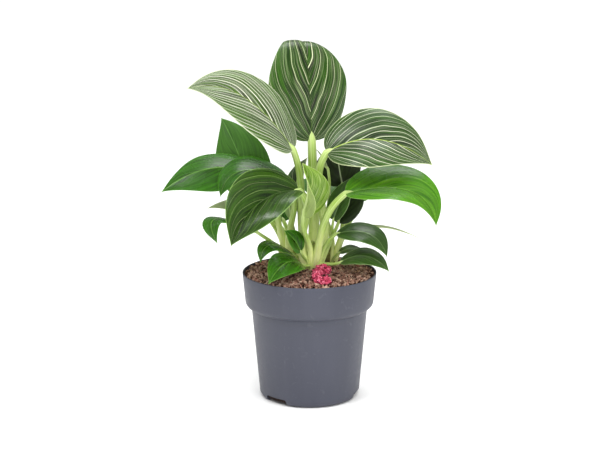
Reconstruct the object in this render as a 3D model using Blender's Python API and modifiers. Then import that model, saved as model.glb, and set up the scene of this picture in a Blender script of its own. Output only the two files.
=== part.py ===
"""Philodendron with cream-striped leaves, growing from three short stems in a round nursery pot.

Metres, +Z up. The origin is the centre of the pot's underside. +X is the plant's right hand
side and -Y is its front. Each leaf is a blade and a stalk. The stalks start on the stems.
"""

import math
from collections import namedtuple

import bmesh
import bpy
from mathutils import Matrix, Vector, geometry

MM = 0.001
GAP = 0.3 * MM  # left between pieces that touch

# Pot, a thin injection moulding: a wide stacking band over a tapered wall.
POT_HEIGHT = 114 * MM
RIM_RADIUS = 60 * MM
BAND_HEIGHT = 26 * MM
BAND_TAPER = 2.4 * MM
SHOULDER = 5.6 * MM
WALL_TOP_RADIUS = 52 * MM
WALL_FOOT_RADIUS = 45 * MM
FOOT_ROUNDING = 5 * MM
POT_WALL = 1.3 * MM
POT_STEPS = 48

# Drain pockets let water out between the pot and what it stands on.
POCKET_TURNS = (-43, 77, 197)  # degrees round the pot from its front, to the right
POCKET_WIDTH = 24 * MM
POCKET_HEIGHT = 6 * MM
POCKET_DEPTH = 13 * MM
DRAIN_RADIUS = 3.6 * MM
DRAIN_INSET = 7 * MM  # from the foot of the wall to the middle of a drain hole

# Potting mix, mounded round the stems.
SOIL_EDGE_HEIGHT = POT_HEIGHT - 1.2 * MM
SOIL_MOUND = 3.5 * MM
SOIL_STEPS = 36
SOIL_RINGS = 5

# Red fibre tuft that lies on the potting mix.
TUFT_CENTRE = (12 * MM, -32 * MM)
TUFT_RADII = (10 * MM, 19 * MM, 12.5 * MM)
TUFT_SOLE = 0.3 * MM  # how much the underside rises from its middle to its edge

# Stems: where each stands, its lean, and how far it stands out of the potting mix.
STEM_RADIUS = 5.3 * MM
STEM_BURIED = 30 * MM
Stem = namedtuple("Stem", "name x y lean_x lean_y height")
STEMS = (
    Stem("front", 2, 4, 0, 0, 24),
    Stem("left", -15, 24, -1, 1, 24),
    Stem("right", 18, 24, 1, 1, 22),
)

BLADE_THICKNESS = 0.6 * MM
BLADE_ROWS = 10
BLADE_COLUMNS = 6
SMALL_BLADE = 17  # mm of half width, up to which a blade has fewer rows and columns
SMALL_ROWS = 8
SMALL_COLUMNS = 4
STALK_FOOT_SHARE = 0.135  # of the blade's widest half
STALK_TOP_SHARE = 0.1
THINNEST_STALK = 1.2 * MM
STALK_POINTS = 8
STALK_LEAN = 0.35  # how much a stalk leaves its stem outwards for each unit upwards
FOOT_REACH, TOP_REACH = 0.35, 0.4  # handles of the stalk's curve, as shares of its span

# The leaves on each stem. A stalk starts "turn" degrees round its stem, from its front to the
# right, and "up" above the potting mix, in mm. base, bend and tip steer the midrib's curve, in
# mm. width is the blade's widest half. roll turns the blade about its midrib, and twist adds
# more towards the tip. fold is the slope of each half beside the midrib and curl its slope at
# the margin, in degrees.
Leaf = namedtuple("Leaf", "name turn up base bend tip width roll twist fold curl")
LEAVES = {
    "front": (
        Leaf("top", 172, 16, (2, 14.5, 231), (-1.5, 16.5, 342.5), (-10, 54.5, 306), 38.5, 10, 0, 14, -25),
        Leaf("upper_left", -139, 18, (-15, -13, 228), (-58, -23, 296), (-105, -35, 283), 29, -42, -16, 16, -15),
        Leaf("upper_right", 113, 18, (16, -9, 224), (61, -14, 252), (107, -20, 214), 32, 46, 0, 25, -15),
        Leaf("mid_right", 30, 14, (33, -22, 190), (104, -24, 208), (109, -45, 166), 28.5, 48, 0, 26, 0),
        Leaf("shaded_right", 90, 1, (26, 8, 157), (36, 16, 182), (46, 22, 198), 16, 60, 0, 20, -10),
        Leaf("young", -8, 16, (-5, -20, 170), (4, -20, 190), (-6, -18, 216), 20, 0, -50, 50, 30),
        Leaf("front_left", -55, 12, (-10, -22, 192), (-50, -43, 197), (-67, -63, 152), 29.5, -30, -40, 44, 0),
        Leaf("low_center", -28, 4, (-8, -15, 136), (-12, -18, 148), (-22, -20, 156), 10, -30, 0, 20, 0),
        Leaf("soil_front", -10, 1, (-6, -17, 124), (-21, -34, 140), (-35, -59, 118), 14, -35, 0, 10, -10),
        Leaf("soil_left", -125, 1, (-16, -5, 132), (-41, -16, 153), (-43, -27, 129), 11, -32, 0, 0, -10),
        Leaf("lowest_right", 36, 1, (28, -10, 125), (52, -12, 140), (70, -25, 120), 13, 40, 0, 10, -10),
        Leaf("low_right", 62, 5, (25, -6, 150), (60, -12, 160), (68, -24, 133), 16, 38, 0, 10, -10),
    ),
    "left": (
        Leaf("back_left", 210, 16, (-48, 32, 172), (-68, 30, 229), (-80, 52, 244), 26, -30, 0, 8, -10),
        Leaf("far_left", -60, 16, (-48, 15, 201), (-92, 10, 217), (-131, 0, 186), 22, -50, 0, -12, -25),
        Leaf("mid_left", -19, 16, (-21, 3, 197), (-71, -2, 221), (-78, -14, 185), 24, -40, 0, 10, -20),
        Leaf("low_left", -70, 2, (-48, -10, 153), (-100, -25, 184), (-80, -35, 148), 15, -30, 0, 0, -10),
        Leaf("rear_left", -115, 8, (-43, 16, 164), (-68, 22, 178), (-92, 24, 166), 14, -20, 0, 0, -10),
        Leaf("inner_left", 40, 10, (-16, 18, 158), (-18, 18, 170), (-20, 17, 180), 6, 0, 0, 20, 0),
        Leaf("behind_center", 85, 18, (-12, 20, 178), (-14, 20, 195), (-2, 28, 212), 14, 0, 0, 20, 0),
        Leaf("rear_low_left", 155, 4, (-24, 46, 150), (-42, 72, 185), (-52, 96, 158), 19, 0, 0, 12, -20),
    ),
    "right": (
        Leaf("rear_right", 60, 16, (30, 32, 186), (24, 30, 212), (26, 52, 222), 21, 0, 0, 10, 0),
        Leaf("inner_right", 16, 12, (21.6, 4.9, 160.3), (27, 4, 178), (38, 5, 199), 11, 30, 0, 30, 0),
        Leaf("low_right_back", 90, 6, (38, 25, 146), (68, 30, 155), (103, 35, 134), 12, -5, 0, 10, -10),
        Leaf("low_back", 20, 1, (27, 12, 128), (41, 15, 136), (52, 20, 126), 8, 0, 0, 10, -10),
        Leaf("behind_top", -150, 16, (16, 22, 204), (10, 24, 219), (4, 24, 221), 10, 0, 0, 10, -10),
        Leaf("rear_far_right", 120, 14, (48, 42, 170), (78, 55, 215), (108, 60, 185), 22, 0, 0, 12, -20),
        Leaf("rear_middle", 165, 12, (10, 48, 172), (12, 75, 195), (14, 100, 172), 19, 0, 0, 12, -20),
    ),
}

LOBE = 0.045  # how far the basal lobes reach back, as a share of the blade's length
WIDEST = 0.42  # where the blade is widest, as a share of its length
BLADE_START = 0.9 * MM  # half width where the blade meets its stalk
TIP_START = 3 * MM
TIP_HALF_WIDTH = 0.3 * MM
MIDRIB_SAMPLES = 60


def clear_scene():
    for thing in list(bpy.data.objects):
        bpy.data.objects.remove(thing)


def new_collection(name):
    collection = bpy.data.collections.new(name)
    bpy.context.scene.collection.children.link(collection)
    return collection


def material(name, colour, roughness, metallic=0.0):
    made = bpy.data.materials.new(name)
    made.use_nodes = True
    shader = made.node_tree.nodes["Principled BSDF"]
    shader.inputs["Base Color"].default_value = (*colour, 1)
    shader.inputs["Roughness"].default_value = roughness
    shader.inputs["Metallic"].default_value = metallic
    return made


def mesh_object(name, build, collection, paint=None):
    """An object whose mesh is what build() puts in an empty bmesh."""
    cage = bmesh.new()
    build(cage)
    mesh = bpy.data.meshes.new(name)
    cage.to_mesh(mesh)
    cage.free()
    made = bpy.data.objects.new(name, mesh)
    collection.objects.link(made)
    if paint:
        mesh.materials.append(paint)
        mesh.shade_smooth()
        mesh.set_sharp_from_angle(angle=math.radians(35))
    return made


def helper(made):
    made.hide_render = True
    made.display_type = "WIRE"
    return made


def boolean(target, operation, other):
    cut = target.modifiers.new(operation.title(), "BOOLEAN")
    cut.operation = operation
    cut.object = other
    return cut


def turned(name, profile, steps, collection, paint=None):
    """A profile in the XZ plane turned round Z. It runs down the outer side, top to bottom."""

    def build(cage):
        points = [cage.verts.new((radius, 0, height)) for radius, height in profile]
        for first, second in zip(points, points[1:]):
            cage.edges.new((first, second))

    made = mesh_object(name, build, collection, paint)
    screw = made.modifiers.new("Turn", "SCREW")
    screw.steps = screw.render_steps = steps
    screw.use_merge_vertices = True
    screw.merge_threshold = 0.00001
    screw.use_smooth_shade = True
    return made


def arc(centre, radius, start, end, count):
    """Points on an arc in the profile plane, from start to end degrees."""
    turns = [math.radians(start + (end - start) * i / count) for i in range(count + 1)]
    return [(centre[0] + radius * math.cos(a), centre[1] + radius * math.sin(a)) for a in turns]


def pot_profile(top, inset=0.0):
    """The pot's outer face, moved inwards by the inset, from a height down to the underside."""
    band_foot = POT_HEIGHT - BAND_HEIGHT
    band_radius = RIM_RADIUS - BAND_TAPER
    shoulder = arc((band_radius - SHOULDER, band_foot), SHOULDER - inset, 0, -80, 4)
    wall_top = (WALL_TOP_RADIUS - inset, shoulder[-1][1] - 1 * MM)
    foot_centre = (WALL_FOOT_RADIUS - FOOT_ROUNDING, FOOT_ROUNDING)
    foot = arc(foot_centre, FOOT_ROUNDING - inset, 0, -90, 4)
    return [(RIM_RADIUS - inset, top), *shoulder, wall_top, *foot, (0, inset)]


def pocket_box(name, grow, collection):
    """Three blocks that reach in under the wall, each grown outwards by the given margin."""
    inner = WALL_FOOT_RADIUS - POCKET_DEPTH - grow
    outer = RIM_RADIUS
    top = POCKET_HEIGHT + grow

    def build(cage):
        for turn in POCKET_TURNS:
            made = bmesh.ops.create_cube(cage, size=1)["verts"]
            size = Vector((POCKET_WIDTH + 2 * grow, outer - inner, 2 * top))
            place = Matrix.Translation((0, -(inner + outer) / 2, 0)) @ Matrix.Diagonal((*size, 1))
            spin = Matrix.Rotation(math.radians(turn), 4, "Z")
            bmesh.ops.transform(cage, matrix=spin @ place, verts=made)

    return helper(mesh_object(name, build, collection))


def make_pot(parts, cutters):
    paint = material("pot_plastic", (0.112, 0.117, 0.156), 0.42)
    pot = turned("nursery_pot", pot_profile(POT_HEIGHT), POT_STEPS, parts, paint)
    wall = pot.modifiers.new("Wall", "SOLIDIFY")
    wall.thickness = POT_WALL
    wall.offset = -1
    filled = [(0, POT_HEIGHT / 2), *pot_profile(POT_HEIGHT / 2, POT_WALL / 2)[-7:]]
    envelope = helper(turned("pot_envelope", filled, POT_STEPS, cutters))
    liner = pocket_box("pocket_liners", POT_WALL, cutters)
    boolean(liner, "INTERSECT", envelope)
    boolean(pot, "UNION", liner)
    boolean(pot, "DIFFERENCE", pocket_box("pocket_cutters", 0, cutters))

    def drains(cage):
        for turn in POCKET_TURNS:
            made = bmesh.ops.create_cone(
                cage,
                cap_ends=True,
                segments=16,
                radius1=DRAIN_RADIUS,
                radius2=DRAIN_RADIUS,
                depth=POCKET_HEIGHT,
            )["verts"]
            place = Matrix.Translation((0, DRAIN_INSET - WALL_FOOT_RADIUS, POCKET_HEIGHT))
            spin = Matrix.Rotation(math.radians(turn), 4, "Z")
            bmesh.ops.transform(cage, matrix=spin @ place, verts=made)

    boolean(pot, "DIFFERENCE", helper(mesh_object("drain_cutters", drains, cutters)))
    return pot


def soil_height(x, y):
    """Height of the potting mix over a point, a low mound that ends level at the rim."""
    share = min(1.0, math.hypot(x, y) / RIM_RADIUS)
    return SOIL_EDGE_HEIGHT + SOIL_MOUND * (1 - share * share)


def make_soil(parts, cutters):
    """Potting mix that fills the pot up to its rim, with a socket for each stem."""
    inset = POT_WALL + GAP
    outer = pot_profile(SOIL_EDGE_HEIGHT, inset)
    rings = [(outer[0][0] * i / SOIL_RINGS, SOIL_EDGE_HEIGHT) for i in range(SOIL_RINGS)]
    paint = material("potting_mix", (0.085, 0.055, 0.038), 0.95)
    soil = turned("potting_mix", rings + outer, SOIL_STEPS, parts, paint)
    graph = bpy.context.evaluated_depsgraph_get()
    mesh = bpy.data.meshes.new_from_object(soil.evaluated_get(graph))
    for vertex in mesh.vertices:
        if vertex.co.z > SOIL_EDGE_HEIGHT - GAP:
            vertex.co.z = soil_height(vertex.co.x, vertex.co.y)
    soil.modifiers.clear()
    soil.data = mesh
    boolean(soil, "DIFFERENCE", pocket_box("pocket_clearance", inset, cutters))
    for stem in STEMS:
        socket = make_stem(stem, cutters, "socket_", GAP)
        boolean(soil, "DIFFERENCE", helper(socket))
    return soil


def stem_point(stem, up):
    """Point on a stem's axis, up metres above the potting mix round it."""
    foot = Vector((stem.x, stem.y, 0)) * MM
    foot.z = soil_height(foot.x, foot.y)
    lean = Vector((stem.lean_x, stem.lean_y, 0)) * MM
    return foot + Vector((0, 0, up)) + lean * up / (stem.height * MM)


def tube(name, points, radii, collection, paint=None, sides=2):
    """A closed tube through the points, with a radius at each."""
    curve = bpy.data.curves.new(name, "CURVE")
    curve.dimensions = "3D"
    curve.bevel_depth = 1
    curve.bevel_resolution = sides
    curve.use_fill_caps = True
    spline = curve.splines.new("POLY")
    spline.points.add(len(points) - 1)
    for place, point, radius in zip(spline.points, points, radii):
        place.co = (*point, 1)
        place.radius = radius
    made = bpy.data.objects.new(name, curve)
    collection.objects.link(made)
    if paint:
        curve.materials.append(paint)
    return made


def as_mesh(made, collection):
    """The evaluated object as a mesh object with its doubles welded. The source is removed."""
    graph = bpy.context.evaluated_depsgraph_get()
    mesh = bpy.data.meshes.new_from_object(made.evaluated_get(graph))
    cage = bmesh.new()
    cage.from_mesh(mesh)
    bmesh.ops.remove_doubles(cage, verts=cage.verts, dist=0.001 * MM)
    cage.to_mesh(mesh)
    cage.free()
    name, place = made.name, made.matrix_world.copy()
    bpy.data.objects.remove(made)
    solid = bpy.data.objects.new(name, mesh)
    solid.matrix_world = place
    collection.objects.link(solid)
    return solid


def make_stem(stem, collection, prefix="stem_", grow=0.0):
    """A short ringed stem, from inside the potting mix up to its growing point."""
    levels = [-STEM_BURIED, -STEM_BURIED / 2, 0, stem.height * MM * 0.5, stem.height * MM]
    shares = [0.75, 1.0, 1.0, 0.9, 0.6]
    radii = [STEM_RADIUS * share + grow for share in shares]
    levels[0] -= grow
    levels[-1] += grow
    points = [stem_point(stem, level) for level in levels]
    made = tube(prefix + stem.name, points, radii, collection, sides=3)
    return as_mesh(made, collection)


def midrib(leaf):
    """Points along a blade's midrib, the quadratic curve that its three points steer."""
    base, bend, tip = (Vector(point) * MM for point in (leaf.base, leaf.bend, leaf.tip))
    first = base + (bend - base) * 2 / 3
    second = tip + (bend - tip) * 2 / 3
    return geometry.interpolate_bezier(base, first, second, tip, MIDRIB_SAMPLES)


def along_midrib(points, distance):
    """Place and direction on the midrib at a distance from its base, which may be behind it."""
    start = (points[1] - points[0]).normalized()
    if distance <= 0:
        return points[0] + start * distance, start
    for first, second in zip(points, points[1:]):
        step = (second - first).length
        if distance <= step:
            return first.lerp(second, distance / step), (second - first).normalized()
        distance -= step
    return points[-1], (points[-1] - points[-2]).normalized()


def outline(along):
    """Half width of a blade as a share of its widest, from the stalk (0) to the tip (1)."""
    if along < WIDEST:
        return math.sqrt(1 - (1 - along / WIDEST) ** 2)
    past = (along - WIDEST) / (1 - WIDEST)
    return (1 - past**1.9) ** 1.25


def blade_point(leaf, points, length, along, across):
    """Point of a blade's middle surface. along runs 0 to 1, across -1 to 1."""
    share = outline(along)
    reach = length * (along - LOBE * across * across * (1 - along) ** 3 * math.sqrt(share))
    place, forward = along_midrib(points, reach)
    base, bend, tip = (Vector(point) for point in (leaf.base, leaf.bend, leaf.tip))
    side = (bend - base).cross(tip - bend).normalized()
    turn = math.radians(leaf.roll + leaf.twist * along)
    side = Matrix.Rotation(turn, 3, forward) @ side
    face = forward.cross(side)
    tip = TIP_HALF_WIDTH + TIP_START * (1 - along)
    half = max(leaf.width * MM * share, min(BLADE_START, tip))
    fold, curl = math.radians(leaf.fold), math.radians(leaf.curl)
    turning = curl - fold
    slope = fold + turning * abs(across)
    spread = half * (math.sin(slope) - math.sin(fold)) / turning
    lift = half * (math.cos(fold) - math.cos(slope)) / turning
    return place + side * math.copysign(spread, across) + face * lift


def make_blade(leaf, parts, paint):
    points = midrib(leaf)
    length = sum((b - a).length for a, b in zip(points, points[1:]))
    small = leaf.width <= SMALL_BLADE
    columns, rows = (SMALL_COLUMNS, SMALL_ROWS) if small else (BLADE_COLUMNS, BLADE_ROWS)

    def build(cage):
        grid = bmesh.ops.create_grid(cage, x_segments=columns, y_segments=rows, size=1)
        for vertex in grid["verts"]:
            across, along = vertex.co.x, (1 + math.sin(vertex.co.y * math.pi / 2)) / 2
            vertex.co = blade_point(leaf, points, length, along, across)

    blade = mesh_object("blade_" + leaf.name, build, parts, paint)
    skin = blade.modifiers.new("Thickness", "SOLIDIFY")
    skin.thickness = BLADE_THICKNESS
    skin.offset = 0
    return blade


def make_stalk(leaf, stem, parts, paint):
    """A tapered stalk that leaves its stem upwards and runs on into the midrib."""
    turn = math.radians(leaf.turn)
    out = Vector((math.sin(turn), -math.cos(turn), 0))
    points = midrib(leaf)
    forward = (points[1] - points[0]).normalized()
    foot_radius = max(THINNEST_STALK, leaf.width * MM * STALK_FOOT_SHARE)
    top_radius = max(THINNEST_STALK, leaf.width * MM * STALK_TOP_SHARE)
    foot = stem_point(stem, leaf.up * MM) + out * (STEM_RADIUS + foot_radius + GAP)
    top = points[0] - forward * (GAP + 2 * BLADE_THICKNESS)
    reach = (top - foot).length
    rise = (Vector((0, 0, 1)) + out * STALK_LEAN).normalized()
    arrive = (forward + (top - foot).normalized()).normalized()
    leaving = foot + rise * reach * FOOT_REACH
    arriving = top - arrive * reach * TOP_REACH
    places = geometry.interpolate_bezier(foot, leaving, arriving, top, STALK_POINTS)
    step = (top_radius - foot_radius) / (STALK_POINTS - 1)
    radii = [foot_radius + step * i for i in range(STALK_POINTS)]
    return tube("stalk_" + leaf.name, places, radii, parts, paint)


def make_tuft(parts):
    """A low lump of matted fibre, flat underneath where it lies on the potting mix."""
    paint = material("red_fibre", (0.42, 0.045, 0.075), 0.9)

    def build(cage):
        ball = bmesh.ops.create_uvsphere(cage, u_segments=18, v_segments=10, radius=1)
        for vertex in ball["verts"]:
            x, y, z = vertex.co
            lump = 1 + 0.12 * math.sin(5 * x + 2) * math.sin(4 * y + 1)
            east = TUFT_CENTRE[0] + x * TUFT_RADII[0] * lump
            north = TUFT_CENTRE[1] + y * TUFT_RADII[1] * lump
            ground = soil_height(east, north) + GAP
            vertex.co = (east, north, ground + TUFT_SOLE * (1 + z) + max(0, z) * TUFT_RADII[2] * lump)

    return mesh_object("red_fibre_tuft", build, parts, paint)


def main():
    clear_scene()
    parts = new_collection("potted_philodendron")
    cutters = new_collection("cutters")
    make_pot(parts, cutters)
    make_soil(parts, cutters)
    make_tuft(parts)
    stem_paint = material("stem", (0.35, 0.36, 0.12), 0.6)
    stalk_paint = material("leaf_stalk", (0.53, 0.61, 0.27), 0.45)
    blade_paint = material("leaf_blade", (0.05, 0.16, 0.03), 0.35)
    for stem in STEMS:
        made = make_stem(stem, parts)
        made.data.materials.append(stem_paint)
        for leaf in LEAVES[stem.name]:
            make_blade(leaf, parts, blade_paint)
            make_stalk(leaf, stem, parts, stalk_paint)


main()
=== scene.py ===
"""Looks of a potted philodendron with cream-striped leaves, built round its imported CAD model.

Metres, +Z up. The origin is the centre of the pot's underside, and -Y is the plant's front.
"""

import logging
import math
from dataclasses import dataclass
from enum import Enum
from typing import Any, Sequence

import bmesh
import bpy
import numpy as np
from mathutils import Matrix, Vector, geometry, noise


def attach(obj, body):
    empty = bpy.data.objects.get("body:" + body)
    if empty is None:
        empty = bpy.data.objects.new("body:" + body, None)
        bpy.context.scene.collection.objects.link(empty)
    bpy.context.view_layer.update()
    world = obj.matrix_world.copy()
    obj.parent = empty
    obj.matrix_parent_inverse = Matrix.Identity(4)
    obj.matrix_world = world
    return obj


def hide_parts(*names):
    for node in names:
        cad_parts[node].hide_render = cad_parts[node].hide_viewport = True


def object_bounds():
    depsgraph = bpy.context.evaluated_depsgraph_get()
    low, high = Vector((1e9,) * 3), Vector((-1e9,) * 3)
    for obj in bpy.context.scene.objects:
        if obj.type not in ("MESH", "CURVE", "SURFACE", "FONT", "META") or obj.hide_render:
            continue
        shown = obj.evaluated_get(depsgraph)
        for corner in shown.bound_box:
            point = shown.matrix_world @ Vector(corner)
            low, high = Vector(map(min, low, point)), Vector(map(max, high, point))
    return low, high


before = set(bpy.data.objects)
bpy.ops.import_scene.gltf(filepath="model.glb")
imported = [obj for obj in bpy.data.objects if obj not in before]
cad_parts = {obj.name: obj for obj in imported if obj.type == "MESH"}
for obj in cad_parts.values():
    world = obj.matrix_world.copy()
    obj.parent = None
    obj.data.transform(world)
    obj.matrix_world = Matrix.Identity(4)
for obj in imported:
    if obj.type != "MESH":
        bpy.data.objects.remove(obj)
CAD_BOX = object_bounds()

log = logging.getLogger("philodendron")

MM = 0.001
GAP = 0.3 * MM  # left between the CAD's pieces
BODY = "root"
INSIDE = 0.05 * MM  # how far inside the CAD box every piece stays

HALF_OFFSET = 0.31  # how far the veins of a blade's halves are out of step, as a share of a gap
STEM_RING = 5 * MM  # between the rings on a stem

Pair = tuple[float, float]
Point = tuple[float, float, float]
Sockets = dict[str, Any] | Sequence[Any]


# Materials


def linear(code: str) -> tuple[float, float, float, float]:
    """Linear colour of an sRGB hex code.

    Args:
        code: Six hex digits.

    Returns:
        Red, green, blue and an alpha of one.
    """
    shares = [int(code[i : i + 2], 16) / 255 for i in (0, 2, 4)]
    turned = [s / 12.92 if s <= 0.04045 else ((s + 0.055) / 1.055) ** 2.4 for s in shares]
    return (*turned, 1.0)


class Recipe:
    """A node material while it is put together."""

    def __init__(self, name: str) -> None:
        """Start a material that holds one Principled shader."""
        self.material = bpy.data.materials.new(name)
        self.material.use_nodes = True
        self.tree = self.material.node_tree
        self.shader = self.tree.nodes["Principled BSDF"]

    def add(self, kind: str, sockets: Sockets = (), **settings: Any) -> bpy.types.Node:
        """Add a node with its settings and links.

        Args:
            kind: Type of the node, without its ShaderNode prefix.
            sockets: What its inputs take, as for fill.
            settings: The node's own properties.

        Returns:
            The new node.
        """
        node = self.tree.nodes.new("ShaderNode" + kind)
        for name, value in settings.items():
            setattr(node, name, value)
        self.fill(node, sockets)
        return node

    def fill(self, node: bpy.types.Node, sockets: Sockets) -> None:
        """Give a node's inputs their values or links.

        Args:
            node: Node whose inputs are set.
            sockets: A value, hex colour, output or node for each input, by name or in order.
        """
        inputs = [socket for socket in node.inputs if socket.enabled]
        if isinstance(sockets, dict):
            named = {socket.name: socket for socket in inputs}
            inputs = [named[name] for name in sockets]
            sockets = list(sockets.values())
        for socket, value in zip(inputs, sockets):
            if isinstance(value, bpy.types.Node):
                value = next(output for output in value.outputs if output.enabled)
            if isinstance(value, bpy.types.NodeSocket):
                self.tree.links.new(value, socket)
            else:
                socket.default_value = linear(value) if isinstance(value, str) else value


@dataclass(frozen=True)
class BladeFinish:
    """Upper and lower skin of a living leaf: green tissue under a thin waxy cuticle.

    The wax makes the upper side satin to glossy, so flat parts take a pale sheen. The lower
    side is duller and paler. Side veins sweep from the midrib to the margin, and the pale
    stripes of a variegated leaf follow them.
    """

    name: str
    dark: str
    light: str
    stripe: str = "dfe9b4"
    rim: str = "7fa650"
    rib: str = "8fb055"
    under: str = "8ea868"
    stripes: float = 0.0  # how strong the stripes are, 0 on a plain leaf
    streaks: float = 0.0  # how strong the fine streaks between them are
    vein_gap: float = 11.0  # mm between side veins, along the midrib
    stripe_width: float = 2.0  # mm, along the midrib
    rim_width: float = 0.7  # mm
    rib_width: float = 1.1  # mm, at the blade's base
    roughness: float = 0.36
    wax: float = 0.08  # coat weight
    gloss: float = 0.4  # specular level
    cloud: float = 14.3 * MM  # across the clouds in the sheen
    waver: float = 22.2 * MM  # across the bends of the side veins
    streak_gap: float = 1.7  # mm between fine streaks
    band_gap: float = 8.0  # mm between bands of lighter tissue
    relief: float = 0.25 * MM

    def lines(self, r: Recipe, vein: Any, half: Any, gap: float, width: float) -> bpy.types.Node:
        """Add lines along the side veins, each with a strength of its own.

        Args:
            r: Recipe of the leaf's material.
            vein: Vein coordinate in mm.
            half: Sign of the half of the blade.
            gap: Distance between lines, in mm.
            width: Width of the widest line, in mm.

        Returns:
            How much each point lies on a line, from 0 to 1.
        """
        offset = r.add("Math", [half, HALF_OFFSET], operation="MULTIPLY")
        counted = r.add("Math", [vein, 1 / gap, offset], operation="MULTIPLY_ADD")
        number = r.add("Math", [counted], operation="FLOOR")
        share = r.add("Math", [counted], operation="FRACT")
        centred = r.add("Math", [share, 0.5], operation="SUBTRACT")
        away = r.add("Math", [centred], operation="ABSOLUTE")
        place = r.add("CombineXYZ", [number, half])
        luck = r.add("TexWhiteNoise", {"Vector": place}, noise_dimensions="2D")
        reach = r.add("MapRange", [luck, 0, 1, 0.25 * width / gap, 0.55 * width / gap])
        line = r.add("MapRange", [away, 0, reach, 1, 0], interpolation_type="SMOOTHSTEP")
        strength = r.add("MapRange", [luck, 0, 1, 0.3, 1.0])
        return r.add("Math", [line, strength], operation="MULTIPLY")

    def material(self) -> bpy.types.Material:
        """Make the leaf's material, which reads where each point lies on the blade."""
        r = Recipe("leaf_" + self.name)
        place = r.add("Attribute", attribute_name="leaf_place")
        edge = r.add("Attribute", attribute_name="leaf_edge")
        vein, across, along = r.add("SeparateXYZ", [place.outputs["Vector"]]).outputs
        from_rib, from_margin, upper = r.add("SeparateXYZ", [edge.outputs["Vector"]]).outputs
        spot = r.add("TexCoord").outputs["Object"]
        cloud = r.add("TexNoise", {"Vector": spot, "Scale": 1 / self.cloud, "Detail": 3.0})
        half = r.add("Math", [across], operation="SIGN")

        # Side veins, a little unsteady.
        slow = r.add("TexNoise", {"Vector": spot, "Scale": 1 / self.waver, "Detail": 1.0})
        most = 0.55 + 0.11 * self.vein_gap  # mm
        shake = r.add("MapRange", [slow, 0.3, 0.7, -most, most])
        swept = r.add("Math", [vein, shake], operation="ADD")
        main = self.lines(r, swept, half, self.vein_gap, self.stripe_width)
        minor = self.lines(r, swept, half, self.vein_gap * 0.29, self.stripe_width * 0.45)

        # Fine streaks, drawn out along the same veins and broken up on their way.
        length = r.add("Math", [across, 2.2, half], operation="MULTIPLY_ADD")
        layers = []
        for pitch, detail in ((self.streak_gap, 2.0), (self.band_gap, 3.0)):
            over = r.add("Math", [swept, 1 / pitch], operation="MULTIPLY")
            drawn = r.add("CombineXYZ", [over, length])
            layers.append(r.add("TexNoise", {"Vector": drawn, "Scale": 1.0, "Detail": detail}))
        fine, bands = layers
        streak = r.add("MapRange", [fine, 0.52, 0.64])
        patch = r.add("MapRange", [bands, 0.38, 0.6])

        # Tissue: lighter in random bands between veins. The blend from darker along the midrib to
        # lighter towards the margin is painted light: painted shade in the midrib's fold and
        # painted light shining through near the margin.
        tissue = r.add("MapRange", [bands, 0.38, 0.68])
        outward = r.add("Math", [across, across], operation="MULTIPLY")
        tone_and_painted_light = r.add("Math", [outward, 0.45, tissue], operation="MULTIPLY_ADD")
        colour = r.add("Mix", [tone_and_painted_light, self.dark, self.light], data_type="RGBA")
        faint = r.add("Math", [main, 0.3], operation="MULTIPLY")
        colour = r.add("Mix", [faint, colour, self.rim], data_type="RGBA")
        wide = r.add("Math", [main, self.stripes], operation="MULTIPLY")
        narrow = r.add("Math", [minor, patch], operation="MULTIPLY")
        both = r.add("Math", [narrow, streak], operation="MAXIMUM")
        thin = r.add("Math", [both, self.streaks], operation="MULTIPLY")
        pale = r.add("Math", [wide, thin], operation="MAXIMUM")
        colour = r.add("Mix", [pale, colour, self.stripe], data_type="RGBA")

        taper = r.add("MapRange", [along, 0, 1, self.rib_width, 0.25 * self.rib_width])
        rib = r.add("MapRange", [from_rib, 0.0, taper, 1.0, 0.0])
        colour = r.add("Mix", [rib, colour, self.rib], data_type="RGBA")
        edge = r.add("MapRange", [from_margin, 0.0, self.rim_width, 0.8, 0.0])
        colour = r.add("Mix", [edge, colour, self.rim], data_type="RGBA")

        seen = r.add("Math", [pale, 0.6], operation="MULTIPLY")
        back = r.add("Mix", [seen, self.under, self.stripe], data_type="RGBA")
        back = r.add("Mix", [faint, back, self.light], data_type="RGBA")
        colour = r.add("Mix", [upper, back, colour], data_type="RGBA")

        satin = r.add("MapRange", [cloud, 0, 1, self.roughness - 0.06, self.roughness + 0.06])
        dull = r.add("Mix", [upper, 0.6, satin])
        fall = r.add("Math", [main, -0.6, fine], operation="MULTIPLY_ADD")
        relief = r.add("Bump", {"Height": fall, "Distance": self.relief, "Strength": 0.5})
        coat = {"Specular IOR Level": self.gloss, "Coat Weight": self.wax, "Coat Roughness": 0.2}
        skin = {"Base Color": colour, "Roughness": dull, "Normal": relief, "IOR": 1.45}
        r.fill(r.shader, {**skin, **coat})
        return r.material


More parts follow.
